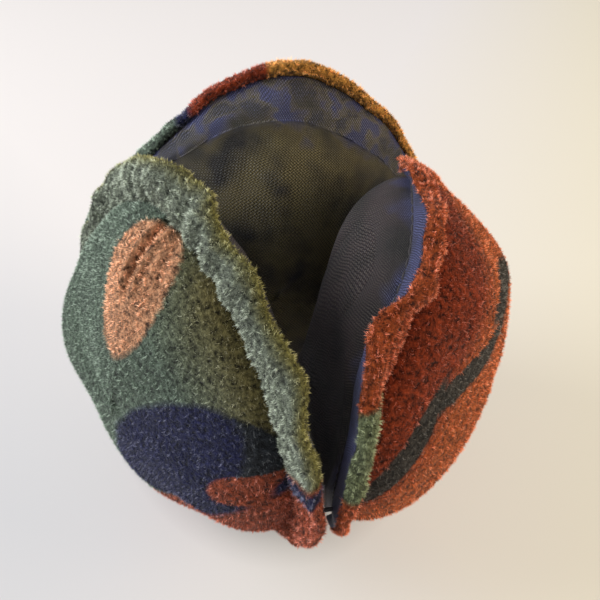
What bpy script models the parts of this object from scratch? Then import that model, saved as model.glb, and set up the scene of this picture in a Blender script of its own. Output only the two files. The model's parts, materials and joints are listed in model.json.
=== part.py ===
"""Fleece treat ball: three stuffed cushions standing in a triangle and joined tip to tip.

Each cushion is two cloth panels round a fibre filling, a fleece one outside and a woven lining
inside, with a flat flange past the seam. Thread joins the flanges at half height in three places,
so slits run from each join to a mouth at the top and one at the bottom, and the bulging linings
hold treats between them.

Metres, +Z up. A cushion is modelled in its own axes: X along the line through its two joins,
Y outwards, Z up, with its origin halfway between the joins. It swings about its own X axis.
"""

import math

import bmesh
import bpy
import numpy as np

# Cushion outline, as the flange's free edge
join_half_span = 0.0455
tip_past_join = 0.0035
half_height = 0.0495
outline_exponent = 1.75
flange_width = 0.0075
lower_narrowing = 0.07
narrowest_from_foot = math.radians(45)
narrowing_spread = math.radians(22)

# Stuffed form, cushion by cushion
outer_crowns = {"left": 0.0200, "right": 0.0249, "back": 0.0234}
inner_crowns = {"left": 0.0125, "right": 0.0185, "back": 0.0185}
lower_slump_shares = {"left": 0.08, "right": 0.12, "back": 0.15}
slump_middle = -0.008
slump_softness = 0.008
swing_limit = math.radians(10)

# Bends of each whole cushion: place along, place up, reach, depth outwards
bends = {
    "left": ((0.026, 0.038, 0.018, -0.0030), (0.036, 0.027, 0.012, -0.0025)),
    "right": ((-0.014, 0.044, 0.020, -0.0040), (0.016, 0.036, 0.014, 0.0020)),
    "back": (),
}

# Flange edges, by degrees round a cushion from its +X join: lean outwards, width trimmed off
flange_edges = {
    "left": (
        (0, 0, 0), (15, -0.0010, 0.0022), (30, -0.0020, 0.0033), (50, -0.0015, 0.0025), (70, 0.0003, 0.0014),
        (90, 0, 0.0006), (105, 0.0009, 0.0010), (120, 0, 0), (140, 0.0003, 0.0006), (155, 0.0014, 0.0020),
        (170, 0.0008, 0.0018), (180, 0, 0.0004), (195, 0, 0.0026), (215, -0.0010, 0.0050),
        (245, -0.0020, 0.0050), (262, -0.0010, 0), (278, 0, 0), (320, 0, 0.0015), (360, 0, 0),
    ),
    "right": (
        (0, 0, 0.0004), (12, 0.0002, 0.0016), (22, -0.0020, 0.0004), (32, -0.0030, 0.0004), (42, -0.0020, 0),
        (49, -0.0004, 0), (55, 0.0020, 0), (62, 0.0034, 0.0002), (71, 0.0030, 0.0003), (77, 0.0018, 0.0004),
        (83, -0.0012, 0.0008), (92, -0.0034, 0.0026), (110, -0.0040, 0.0042), (135, -0.0030, 0.0038),
        (160, -0.0010, 0.0015), (180, 0, 0), (262, 0, 0), (278, 0, 0), (300, -0.0010, 0.0034),
        (325, -0.0010, 0.0044), (345, 0, 0.0036), (360, 0, 0.0004),
    ),
    "back": (
        (0, 0, 0), (30, 0, 0.0004), (45, -0.0010, -0.0010), (62, -0.0026, -0.0026), (88, -0.0032, -0.0030),
        (105, -0.0026, -0.0010), (120, -0.0014, 0.0026), (132, -0.0006, 0.0042), (145, 0, 0.0040),
        (165, 0, 0.0015), (180, 0, 0), (360, 0, 0),
    ),
}

# Cloth layers
fleece_wall = 0.0020
flange_loft = 0.0032
seam_loft = 0.0010
lining_wall = 0.0006
lining_setback = 0.0008
layer_gap = 0.0003
filling_gap = 0.0006
lean_power = 1.6

# Clearances between neighbouring cushions
neighbour_gap = 0.00035
fold_radius = 0.0005

# Seam and joining threads
thread_radius = 0.0003
join_thread_radius = 0.0005
join_hole_radius = 0.0011
knot_radius = 0.0013
knot_height = 0.0008
pinch_reach = 0.0045
pinch_share = 0.5

# Flat that the ball stands on
rest_cut = 0.0005
cutter_overrun = 0.002

# Facets
outline_steps = 40
thread_sides = 5
round_sides = 12
crown_shares = (0.16, 0.32, 0.47, 0.61, 0.74, 0.86, 0.95, 1.0)
hollow_shares = (0.22, 0.44, 0.64, 0.82, 0.94, 1.0)
pocket_shares = (0.18, 0.36, 0.54, 0.7, 0.84, 0.94, 1.0)
filling_shares = (0.22, 0.44, 0.64, 0.82, 0.94)
flange_profile_shares = ((0.86, 0.42), (0.62, 0.9), (0.36, 1.0), (0.12, 0.8), (0.0, 0.4), (0.06, 0.0))
flange_sheet_shares = (0.35, 0.7)

CUSHIONS = {
    "back": 0.0,
    "left": math.radians(120),
    "right": math.radians(-120),
}
JOINS = {
    "front": math.radians(180),
    "left": math.radians(60),
    "right": math.radians(-60),
}

CORNER_ANGLE = math.radians(30)
SPREAD = math.tan(CORNER_ANGLE)
TIP = join_half_span + tip_past_join
AXIS_TO_CHORD = join_half_span * SPREAD
AXIS_TO_JOIN = join_half_span / math.cos(CORNER_ANGLE)
FLANGE_FLOOR = lining_wall + layer_gap
SEAM_TOP = FLANGE_FLOOR + seam_loft
GROOVE = thread_radius + layer_gap
CENTRE_HEIGHT = half_height - rest_cut


def clear_scene():
    for thing in list(bpy.data.objects):
        bpy.data.objects.remove(thing, do_unlink=True)


def cloth(name, colour, roughness=0.95):
    material = bpy.data.materials.new(name)
    material.use_nodes = True
    shader = material.node_tree.nodes["Principled BSDF"]
    shader.inputs["Base Color"].default_value = (*colour, 1.0)
    shader.inputs["Roughness"].default_value = roughness
    shader.inputs["Metallic"].default_value = 0.0
    return material


def smooth_max(first, second):
    """The larger of two surfaces, with the fold between them rounded."""
    return 0.5 * (first + second + np.sqrt((first - second) ** 2 + fold_radius**2))


def neighbour_limit(along, up):
    """Least outward place that stays clear of the next cushion through the whole swing.

    The plane halfway between two cushions passes through their join at the corner angle, and a
    point at a height above or below the join swings towards it by that height times the tangent.
    """
    return (np.abs(along) - join_half_span) * SPREAD + neighbour_gap + np.abs(up) * math.tan(swing_limit)


def middle_sheet(name, along, up):
    """A cushion's middle surface: flat but for its bends, and folded outwards at the next cushion."""
    bent = np.zeros_like(along)
    for place_along, place_up, reach, depth in bends[name]:
        away = np.hypot(along - place_along, up - place_up) / reach
        bent += depth * np.exp(-(away**2))
    return smooth_max(bent, neighbour_limit(along, up))


def outline(inset, scale=1.0):
    """Points round the cushion, this far inside its free edge, then scaled towards its middle.

    A superellipse, drawn in by a share on both sides between the joins and the foot.
    """
    angles = np.arange(outline_steps) * (2 * math.pi / outline_steps)
    power = 2 / outline_exponent
    cosines, sines = np.cos(angles), np.sin(angles)
    from_foot = np.abs(angles - 1.5 * math.pi)
    bell = np.exp(-(((from_foot - narrowest_from_foot) / narrowing_spread) ** 2))
    scale = scale * (1 - lower_narrowing * bell)
    along = (TIP - inset) * np.sign(cosines) * np.abs(cosines) ** power
    up = (half_height - inset) * np.sign(sines) * np.abs(sines) ** power
    return along * scale, up * scale


def flange_ring(name, inset, thickness):
    """A ring on the flange, this far above its inner face, which leans and is trimmed towards its edge."""
    angles = np.arange(outline_steps) * (360 / outline_steps)
    degrees, leans, trims = np.array(flange_edges[name]).T
    out = 1 - inset / flange_width
    along, up = outline(inset + out * np.interp(angles, degrees, trims))
    leaning = middle_sheet(name, along, up) + out**lean_power * np.interp(angles, degrees, leans)
    sheet = smooth_max(leaning, neighbour_limit(along, up))
    return np.stack([along, sheet + thickness, up], axis=1)


def pinched_ring(name, inset, thickness):
    """A ring on the fleece flange's face, drawn down where the join stitch pinches it."""
    rings = flange_ring(name, inset, 0.0)
    reach = np.hypot(np.abs(rings[:, 0]) - join_half_span, rings[:, 2]) / pinch_reach
    rings[:, 1] += FLANGE_FLOOR + thickness * (1 - pinch_share * np.exp(-(reach**2)))
    return rings


def dome_rings(name, inset, rim, crown, shares):
    """Rings of an outward dome, from near its crown down to its rim, let down in its lower part."""
    rings = []
    for share in shares:
        along, up = outline(inset, math.sin(share * math.pi / 2))
        slump = lower_slump_shares[name] / (1 + np.exp((up - slump_middle) / slump_softness))
        height = rim + (crown - rim) * math.cos(share * math.pi / 2) * (1 - slump)
        rings.append(np.stack([along, middle_sheet(name, along, up) + height, up], axis=1))
    return rings


def pocket_rings(name, inset, margin, shares):
    """Rings of the dome towards the pocket, pressed flat where it would meet its neighbours."""
    rings = []
    for share in shares:
        along, up = outline(inset, math.sin(share * math.pi / 2))
        depth = inner_crowns[name] * math.cos(share * math.pi / 2)
        dome = middle_sheet(name, along, up) + margin - depth
        pressed = smooth_max(dome, neighbour_limit(along, up) + margin / math.cos(CORNER_ANGLE))
        rings.append(np.stack([along, pressed, up], axis=1))
    return rings


def pole(name, height):
    """One point over the cushion's middle: on an outward dome let down as the rings beside it are."""
    sheet = float(middle_sheet(name, np.zeros(1), np.zeros(1))[0])
    slump = lower_slump_shares[name] / (1 + math.exp(-slump_middle / slump_softness))
    return np.array([[0.0, sheet + height * (1 - (slump if height > 0 else 0.0)), 0.0]])


def closed_mesh(name, rings):
    """A closed skin through rings of points; a ring of one point is a pole."""
    mesh = bpy.data.meshes.new(name)
    starts = np.cumsum([0] + [len(points) for points in rings])
    faces = []
    for index in range(len(rings) - 1):
        first, second = starts[index], starts[index + 1]
        faces += band_faces(first, len(rings[index]), second, len(rings[index + 1]))
    if len(rings[0]) > 1:
        faces += band_faces(starts[-2], len(rings[-1]), 0, len(rings[0]))
    mesh.from_pydata(np.concatenate(rings).tolist(), [], faces)
    tidy = bmesh.new()
    tidy.from_mesh(mesh)
    bmesh.ops.recalc_face_normals(tidy, faces=tidy.faces)
    tidy.to_mesh(mesh)
    tidy.free()
    mesh.shade_smooth()
    return mesh


def band_faces(first, first_count, second, second_count):
    count = max(first_count, second_count)
    faces = []
    for step in range(count):
        after = (step + 1) % count
        corners = [first + step % first_count, first + after % first_count]
        corners += [second + after % second_count, second + step % second_count]
        faces.append(list(dict.fromkeys(int(corner) for corner in corners)))
    return faces


def cut_flat(mesh, height):
    """Takes off what lies below a height and closes the cut with one flat face."""
    cut = bmesh.new()
    cut.from_mesh(mesh)
    everything = cut.verts[:] + cut.edges[:] + cut.faces[:]
    sliced = bmesh.ops.bisect_plane(
        cut, geom=everything, plane_co=(0, 0, height), plane_no=(0, 0, -1), clear_outer=True
    )
    rim = [item for item in sliced["geom_cut"] if isinstance(item, bmesh.types.BMEdge)]
    bmesh.ops.contextual_create(cut, geom=rim)
    bmesh.ops.recalc_face_normals(cut, faces=cut.faces)
    cut.to_mesh(mesh)
    cut.free()


def fleece_mesh(name):
    """Fleece panel: crowned face, seam groove, lofted flange, and the hollow for the filling."""
    groove_inset = flange_width + GROOVE
    hollow_inset = groove_inset + fleece_wall
    crown = outer_crowns[name]
    rings = [pole(name, crown)]
    rings += dome_rings(name, groove_inset, SEAM_TOP, crown, crown_shares)
    rings.append(pinched_ring(name, flange_width - GROOVE, seam_loft))
    flat_width = flange_width - GROOVE
    for inset_share, loft_share in flange_profile_shares:
        rings.append(pinched_ring(name, flat_width * inset_share, flange_loft * loft_share))
    rings += [flange_ring(name, flat_width * share, FLANGE_FLOOR) for share in flange_sheet_shares]
    rings += dome_rings(name, hollow_inset, FLANGE_FLOOR, crown - fleece_wall, hollow_shares[::-1])
    rings.append(pole(name, crown - fleece_wall))
    mesh = closed_mesh(f"fleece_panel_{name}", rings)
    cut_flat(mesh, rest_cut - half_height)
    return mesh


def lining_mesh(name):
    """Lining panel: a thin flange and a crowned face towards the pocket."""
    rings = [pole(name, -inner_crowns[name])]
    rings += pocket_rings(name, flange_width + GROOVE, 0.0, pocket_shares)
    insets = [flange_width * share for share in flange_sheet_shares]
    rings += [flange_ring(name, inset, 0.0) for inset in insets[::-1] + [lining_setback]]
    rings += [flange_ring(name, inset, lining_wall) for inset in [lining_setback] + insets]
    hollow_inset = flange_width + GROOVE + lining_wall
    rings += pocket_rings(name, hollow_inset, lining_wall, pocket_shares[::-1])
    rings.append(pole(name, lining_wall - inner_crowns[name]))
    return closed_mesh(f"lining_panel_{name}", rings)


def filling_mesh(name):
    """Fibre filling: a lens that leaves a thin gap to both panels."""
    top_inset = flange_width + GROOVE + fleece_wall + filling_gap
    top_crown = outer_crowns[name] - fleece_wall - filling_gap
    rings = [pole(name, top_crown)]
    rings += dome_rings(name, top_inset, FLANGE_FLOOR + filling_gap, top_crown, filling_shares)
    low_gap = lining_wall + filling_gap
    rings += pocket_rings(name, top_inset, low_gap, filling_shares[::-1])
    rings.append(pole(name, low_gap - inner_crowns[name]))
    return closed_mesh(f"filling_{name}", rings)


def seam_thread_mesh(title, name, height):
    """Thread of the seam, one round of it, lying in the groove between flange and crown."""
    rings = []
    for side in range(thread_sides):
        turn = side * (2 * math.pi / thread_sides)
        along, up = outline(flange_width + thread_radius * math.cos(turn))
        sheet = middle_sheet(name, along, up)
        rings.append(np.stack([along, sheet + height + thread_radius * math.sin(turn), up], axis=1))
    return closed_mesh(f"{title}_{name}", rings)


def circle(radius, place):
    angles = (np.arange(round_sides) + 0.5) * (2 * math.pi / round_sides)
    return np.stack([np.full(round_sides, place), radius * np.cos(angles), radius * np.sin(angles)], axis=1)


def join_stitch_mesh():
    """Joining thread: a bundle through both flange tips, with a flattened knot on each fleece."""
    pinched = FLANGE_FLOOR + flange_loft * (1 - pinch_share)
    swing_room = knot_radius * math.tan(swing_limit)
    seat = pinched + neighbour_gap + fold_radius + layer_gap + swing_room
    top = seat + knot_height
    half = [(seat, join_thread_radius), (seat, knot_radius), (seat + knot_height / 2, knot_radius)]
    half.append((top, knot_radius / 2))
    profile = [(-place, radius) for place, radius in half[::-1]] + half
    rings = [np.array([[-top, 0.0, 0.0]])]
    rings += [circle(radius, place) for place, radius in profile]
    rings.append(np.array([[top, 0.0, 0.0]]))
    return closed_mesh("join_stitch", rings)


def join_hole_mesh():
    """Cutter for the hole that the joining thread passes through, lying along its own X axis."""
    reach = flange_loft + FLANGE_FLOOR + cutter_overrun
    rings = [np.array([[-reach, 0.0, 0.0]]), circle(join_hole_radius, -reach)]
    rings += [circle(join_hole_radius, reach), np.array([[reach, 0.0, 0.0]])]
    return closed_mesh("join_hole", rings)


def add_object(name, mesh, parent=None, material=None):
    thing = bpy.data.objects.new(name, mesh)
    bpy.context.scene.collection.objects.link(thing)
    thing.parent = parent
    if material:
        thing.data = mesh.copy()
        thing.data.materials.append(material)
    return thing


def add_centre(fleeces):
    """Empty on the ball's axis at half height, set so that the ball's outer box is centred."""
    places = []
    for name, turn in CUSHIONS.items():
        points = np.array([corner.co for corner in fleeces[name].vertices])
        out = points[:, 1] + AXIS_TO_CHORD
        across = points[:, 0] * math.cos(turn) - out * math.sin(turn)
        deep = points[:, 0] * math.sin(turn) + out * math.cos(turn)
        places.append(np.stack([across, deep], axis=1))
    places = np.concatenate(places)
    middle = (places.max(axis=0) + places.min(axis=0)) / 2
    centre = add_object("ball_centre", None)
    centre.location = (-middle[0], -middle[1], CENTRE_HEIGHT)
    return centre


def add_pivot(name, turn, centre):
    """Empty on the swing axis, halfway between a cushion's two joins."""
    pivot = add_object(name, None, centre)
    pivot.location = (-AXIS_TO_CHORD * math.sin(turn), AXIS_TO_CHORD * math.cos(turn), 0)
    pivot.rotation_euler = (0, 0, turn)
    return pivot


def add_hole_cutters(name, pivot, mesh):
    """The two cutters of a cushion, one at each join, square to the plane between neighbours."""
    cutters = []
    for side in (-1, 1):
        cutter = add_object(f"{name}_hole_cutter_{'left' if side < 0 else 'right'}", mesh, pivot)
        cutter.location = (side * join_half_span, 0, 0)
        cutter.rotation_euler = (0, 0, side * (math.pi / 2 + CORNER_ANGLE))
        cutter.hide_render = True
        cutter.display_type = "WIRE"
        cutters.append(cutter)
    return cutters


def cut_holes(panel, cutters):
    for number, cutter in enumerate(cutters):
        hole = panel.modifiers.new(f"join_hole_{number + 1}", "BOOLEAN")
        hole.operation = "DIFFERENCE"
        hole.solver = "EXACT"
        hole.object = cutter


def add_cushion(name, turn, centre, fleece_form, join_hole, materials):
    pivot = add_pivot(f"cushion_{name}_swing_axis", turn, centre)
    cutters = add_hole_cutters(f"cushion_{name}", pivot, join_hole)
    fleece = add_object(f"fleece_panel_{name}", fleece_form, pivot, materials[f"fleece_{name}"])
    lining = add_object(f"lining_panel_{name}", lining_mesh(name), pivot, materials["lining"])
    cut_holes(fleece, cutters)
    cut_holes(lining, cutters)
    add_object(f"filling_{name}", filling_mesh(name), pivot, materials["filling"])
    needle = seam_thread_mesh("needle_thread", name, SEAM_TOP + GROOVE)
    bobbin = seam_thread_mesh("bobbin_thread", name, -GROOVE)
    add_object(f"needle_thread_{name}", needle, pivot, materials["thread"])
    add_object(f"bobbin_thread_{name}", bobbin, pivot, materials["thread"])


def add_join(name, turn, centre, mesh, material):
    stitch = add_object(f"join_stitch_{name}", mesh, centre, material)
    stitch.location = (-AXIS_TO_JOIN * math.sin(turn), AXIS_TO_JOIN * math.cos(turn), 0)
    stitch.rotation_euler = (0, 0, turn)


def build():
    clear_scene()
    materials = {
        "fleece_left": cloth("green fleece", (0.075, 0.13, 0.095)),
        "fleece_right": cloth("rust fleece", (0.29, 0.065, 0.03)),
        "fleece_back": cloth("rust and amber fleece", (0.42, 0.17, 0.05)),
        "lining": cloth("dark woven lining", (0.02, 0.017, 0.022), 0.5),
        "filling": cloth("white fibre filling", (0.8, 0.79, 0.76)),
        "thread": cloth("dark thread", (0.03, 0.028, 0.03), 0.7),
    }
    fleeces = {name: fleece_mesh(name) for name in CUSHIONS}
    join_hole = join_hole_mesh()
    centre = add_centre(fleeces)
    for name, turn in CUSHIONS.items():
        add_cushion(name, turn, centre, fleeces[name], join_hole, materials)
    stitch = join_stitch_mesh()
    for name, turn in JOINS.items():
        add_join(name, turn, centre, stitch, materials["thread"])


build()
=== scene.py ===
"""Looks of the fleece treat ball: three stuffed cushions joined tip to tip, in the row frame, in metres."""

import json
import math

import bpy
import numpy as np
from mathutils import Matrix, Vector


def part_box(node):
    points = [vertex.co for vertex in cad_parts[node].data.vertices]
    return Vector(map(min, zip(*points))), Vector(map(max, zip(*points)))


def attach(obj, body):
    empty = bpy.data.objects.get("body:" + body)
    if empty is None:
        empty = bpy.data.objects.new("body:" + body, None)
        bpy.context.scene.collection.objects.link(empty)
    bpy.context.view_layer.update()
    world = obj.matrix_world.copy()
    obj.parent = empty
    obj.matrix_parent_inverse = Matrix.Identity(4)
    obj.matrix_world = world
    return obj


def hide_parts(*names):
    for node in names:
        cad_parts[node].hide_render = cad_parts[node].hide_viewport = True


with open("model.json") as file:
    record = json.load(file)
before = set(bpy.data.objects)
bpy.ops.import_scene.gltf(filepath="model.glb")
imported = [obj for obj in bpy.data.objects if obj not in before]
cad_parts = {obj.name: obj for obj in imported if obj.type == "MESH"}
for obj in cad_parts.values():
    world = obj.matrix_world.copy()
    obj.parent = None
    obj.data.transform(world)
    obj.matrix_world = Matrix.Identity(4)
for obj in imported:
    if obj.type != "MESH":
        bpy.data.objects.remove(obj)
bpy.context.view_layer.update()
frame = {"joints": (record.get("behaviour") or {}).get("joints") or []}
swings = {joint["child"].removesuffix("_cushion"): joint for joint in frame["joints"]}

# Camera
# The photograph looks down into the mouth from a little left of the front join, held slightly
# crooked, with the ball left of and above the middle of the picture.
camera_turn = math.radians(12)
camera_tilt = math.radians(42.3)
camera_roll = math.radians(4)
camera_distance = 0.1595
camera_lens_mm = 39.6
camera_shift = (0.03, 0.03)


def linked(name, data):
    thing = bpy.data.objects.new(name, data)
    bpy.context.scene.collection.objects.link(thing)
    return thing


ball_middle = sum((Vector(joint["pos_m"]) for joint in swings.values()), Vector()) / len(swings)
flat_part = math.cos(camera_tilt)
forward = Vector(
    (math.sin(camera_turn) * flat_part, math.cos(camera_turn) * flat_part, -math.sin(camera_tilt))
)
level = Vector((math.cos(camera_turn), -math.sin(camera_turn), 0))
upward = level.cross(forward)
rolled_right = level * math.cos(camera_roll) + upward * math.sin(camera_roll)
rolled_up = upward * math.cos(camera_roll) - level * math.sin(camera_roll)
camera = linked("camera", bpy.data.cameras.new("camera"))
camera.matrix_world = Matrix.Translation(ball_middle - forward * camera_distance) @ (
    Matrix((rolled_right, rolled_up, -forward)).transposed().to_4x4()
)
camera.data.lens = camera_lens_mm
camera.data.shift_x, camera.data.shift_y = camera_shift
camera.data.clip_start = 0.01
bpy.context.scene.camera = camera


# Floor and light
# A pale sheet that curves up all round, with a bluish window to the left and a weaker warm lamp to
# the right. Its colour carries painted light: a pale yellow pool of warm light right of the ball, a
# greyer painted shade to the left, and a glow all over that lifts its shadows.
floor_radius, floor_wall = 1.1, 0.7
floor_steps, flat_rings, bend_rings = 96, 24, 13
# How much of the sheet's brightness is its own glow: painted light.
glow = 0.5
# The glow fades out in an oval under and behind the ball, a painted shadow of these measures.
dim_centre, dim_narrow, dim_radius, lit_radius = 0.04, 1.5, 0.045, 0.075
sky_strength = 0.42
sky_colour = (0.97, 0.98, 1.0)
# Each lamp's place, size, watts and colour.
lamps = {
    "window": ((-0.62, 0.12, 0.44), 0.45, 5.2, (0.93, 0.96, 1.0)),
    "warm_lamp": ((0.65, -0.25, 0.45), 0.35, 2.8, (1.0, 0.84, 0.62)),
}


def maths_node(operation):
    """A method that adds a Math node of this kind, fed by the wire and by the method's arguments."""
    return lambda wire, *others: wire.finish.node("ShaderNodeMath", {"operation": operation}, (wire, *others))


class Wire:
    """A shader socket that takes part in arithmetic: 1 - mask adds a Math node, and so on."""

    def __init__(self, finish, socket):
        self.finish = finish
        self.socket = socket

    __add__ = __radd__ = maths_node("ADD")
    __mul__ = __rmul__ = maths_node("MULTIPLY")
    __sub__ = maths_node("SUBTRACT")
    __truediv__ = maths_node("DIVIDE")
    __pow__ = maths_node("POWER")
    __abs__ = maths_node("ABSOLUTE")
    sine = maths_node("SINE")
    at_least = maths_node("MAXIMUM")

    def __rsub__(self, other):
        return self.finish.node("ShaderNodeMath", {"operation": "SUBTRACT"}, (other, self))

    def share(self, low, high):
        """0 below low, 1 above high, and an even slope between them."""
        return self.finish.node(
            "ShaderNodeMapRange", {"clamp": True}, {"Value": self, "From Min": low, "From Max": high}
        )


class Finish:
    """One material and its nodes."""

    def __init__(self, name, **steady):
        self.material = bpy.data.materials.new(name)
        self.material.use_nodes = True
        self.tree = self.material.node_tree
        self.shader = self.tree.nodes["Principled BSDF"]
        for socket, value in steady.items():
            self.shader.inputs[socket.replace("_", " ")].default_value = value

    def node(self, kind, settings=None, sockets=(), output=0):
        """Adds a node: its settings first, then a value or a wire for each socket, by order or by name."""
        node = self.tree.nodes.new(kind)
        for setting, value in (settings or {}).items():
            setattr(node, setting, value)
        for key, value in sockets.items() if isinstance(sockets, dict) else enumerate(sockets):
            if isinstance(value, Wire):
                self.tree.links.new(value.socket, node.inputs[key])
            else:
                node.inputs[key].default_value = value
        return Wire(self, node.outputs[output])

    def mix(self, share, first, second):
        colours = [c if isinstance(c, Wire) else (*c, 1.0) for c in (first, second)]
        return self.node("ShaderNodeMix", {"data_type": "RGBA"}, {0: share, 6: colours[0], 7: colours[1]}, 2)

    def shaded(self, colour, brightness):
        """A colour times a brightness that may vary over the cloth."""
        whole = colour if isinstance(colour, Wire) else self.mix(0.0, colour, colour)
        return self.node("ShaderNodeVectorMath", {"operation": "SCALE"}, {0: whole, "Scale": brightness})

    def place(self):
        return self.node("ShaderNodeTexCoord", output="Object")

    def map(self, name):
        return self.node("ShaderNodeUVMap", {"uv_map": name})

    def attribute(self, name):
        return self.node("ShaderNodeAttribute", {"attribute_name": name}, output="Fac")

    def noise(self, where, size, detail=2.0, roughness=0.5):
        """Noise from 0 to 1 whose lumps are about this size in the coordinates' own unit."""
        sockets = {"Vector": where, "Scale": 1 / size, "Detail": detail, "Roughness": roughness}
        return self.node("ShaderNodeTexNoise", {}, sockets)

    def parts(self, where):
        return [self.node("ShaderNodeSeparateXYZ", {}, {0: where}, axis) for axis in range(3)]

    def bump(self, height, depth, strength=1.0):
        sockets = {"Strength": strength, "Distance": depth, "Height": height}
        return self.node("ShaderNodeBump", {}, sockets)

    def feed(self, **sockets):
        for socket, wire in sockets.items():
            self.tree.links.new(wire.socket, self.shader.inputs[socket.replace("_", " ")])


def dye(red, green, blue):
    """A colour read on the screen's scale of 255, as the linear colour that a shader takes."""
    return tuple(
        part / 255 / 12.92 if part <= 10 else ((part / 255 + 0.055) / 1.055) ** 2.4
        for part in (red, green, blue)
    )


def turns_of(steps):
    return np.arange(steps) * (2 * math.pi / steps)


def shares_of(rings):
    """Even shares of the way out, the first ring's and so on up to 1."""
    return np.linspace(0, 1, rings + 1)[1:]


def ring_quads(rings, steps):
    """Quads between rings of points, each ring closed on itself."""
    first = np.arange(rings - 1)[:, None] * steps + np.arange(steps)
    after = np.arange(rings - 1)[:, None] * steps + (np.arange(steps) + 1) % steps
    return np.stack([first, after, after + steps, first + steps], axis=2).reshape(-1, 4)


def smooth_mesh(name, points, faces):
    mesh = bpy.data.meshes.new(name)
    mesh.from_pydata(points.tolist(), [], faces)
    mesh.shade_smooth()
    return mesh


def paper_sheet():
    """A bowl: radius runs out to the wall's foot, then turns up on a quarter circle."""
    turns = turns_of(floor_steps)
    bend = np.linspace(0, math.pi / 2, bend_rings)
    flat = np.linspace(0.02, floor_radius, flat_rings)
    radius = np.concatenate([flat, floor_radius + floor_wall * np.sin(bend)])[:, None]
    height = np.concatenate([np.zeros(flat_rings), floor_wall * (1 - np.cos(bend))])[:, None]
    points = np.stack([radius * np.cos(turns), radius * np.sin(turns), height + 0 * turns], axis=2)
    quads = ring_quads(len(radius), floor_steps)[:, ::-1]
    return smooth_mesh("paper_sheet", points.reshape(-1, 3), quads.tolist() + [list(range(floor_steps))])


paper_white, painted_warm_light, painted_grey_shade = dye(242, 237, 235), dye(240, 230, 200), dye(214, 214, 216)
paper = linked("paper_sheet", paper_sheet())
finish = Finish("pale_sheet", Roughness=0.9, Emission_Strength=glow)
across, along, _ = finish.parts(finish.place())
# Painted light: a pale yellow pool of warm light to the ball's right, and greyer painted shade to its left.
warm_pool_share = (across * 0.9 - along * 0.5).share(-0.03, 0.15)
grey_shade_share = (across * -1.0 - along * 0.6).share(-0.02, 0.12)
tinted = finish.mix(grey_shade_share, finish.mix(warm_pool_share, paper_white, painted_warm_light), painted_grey_shade)
out = ((across * dim_narrow) ** 2 + (along - dim_centre) ** 2) ** 0.5
# The glow is painted light that lifts the sheet's shadows, left out in the ball's shade as a painted shadow;
# the base colour is lowered to match.
finish.feed(
    Base_Color=finish.shaded(tinted, 1 - glow),
    Emission_Color=finish.shaded(tinted, out.share(dim_radius, lit_radius)),
)
paper.data.materials.append(finish.material)

for name, (place, size, watts, colour) in lamps.items():
    lamp = linked(name, bpy.data.lights.new(name, "AREA"))
    lamp.data.size, lamp.data.energy, lamp.data.color = size, watts, colour
    lamp.location = place
    lamp.rotation_euler = (ball_middle - Vector(place)).to_track_quat("-Z", "Y").to_euler()
world = bpy.data.worlds.new("studio")
bpy.context.scene.world = world
world.use_nodes = True
sky = world.node_tree.nodes["Background"]
sky.inputs["Color"].default_value = (*sky_colour, 1.0)
sky.inputs["Strength"].default_value = sky_strength
bpy.context.scene.view_settings.view_transform = "Standard"


# Filling
# A wad of white polyester fibre in each cushion, teased apart and pushed in through a gap in the
# seam until both cloths stand out. It fills the cushion and gives it its crowned shape.
join_half_span, tip_past_join, half_height = 0.0455, 0.0035, 0.0495
outline_power = 1.75
flange_width = 0.0075
seam_inset = flange_width + 0.0006
outer_crowns = {"left": 0.0196, "right": 0.0245, "back": 0.0230}
inner_crowns = {"left": 0.0125, "right": 0.0185, "back": 0.0185}
fleece_wall, lining_wall = 0.0020, 0.0006
layer_gap, filling_gap = 0.0003, 0.0007
seam_height = 0.0012
spread = math.tan(math.radians(30))
sway = math.tan(math.radians(10))
neighbour_gap = 0.00035
fold_radius = 0.0005
rest_height = -0.0490
# The lower part hangs a little: by what share, and over how much height round what height.
lower_slumps = {"left": 0.08, "right": 0.12, "back": 0.15}
slump_start_mm, slump_reach_mm = -8, 8
lower_narrowing, narrow_degrees, narrow_reach = 0.07, 45, 22
# Where the seam runs farther in than elsewhere: degrees round from the +X join, and millimetres.
seam_drifts = {
    "left": (
        (0, 0), (8, 0.2), (18, 1.8), (40, 3), (66, 2.6), (84, 1), (105, 1.8), (120, 2.2), (135, 2.9),
        (150, 4), (158, 4.2), (166, 3.8), (178, 3.2), (190, 1.2), (205, 0), (360, 0),
    ),
    "right": ((0, 0), (100, 0), (120, 1.2), (140, 2.4), (160, 2.4), (176, 1), (188, 0), (360, 0)),
    "back": ((0, 0), (360, 0)),
}
# Where each cushion is bent outwards as a whole: place along and up, reach and depth, in millimetres.
bends = {
    "left": ((26, 38, 18, -3), (36, 27, 12, -2.5)),
    "right": ((-14, 44, 20, -4), (16, 36, 14, 2)),
    "back": (),
}
swell_steps, swell_rings = 96, 18
swell_frames, swell_cap = 20, 0.0014
swell_cloth = {
    "vertex_group_mass": "seam",
    "use_pressure": True,
    "uniform_pressure_force": 4.0,
    "tension_stiffness": 12.0,
    "compression_stiffness": 12.0,
    "bending_stiffness": 0.4,
    "mass": 0.1,
    "quality": 6,
}
filling_steps, filling_rings, filling_cut, filling_sag = 96, 20, 0.002, 0.0025
seeds = {"left": 11, "right": 23, "back": 37}


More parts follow.
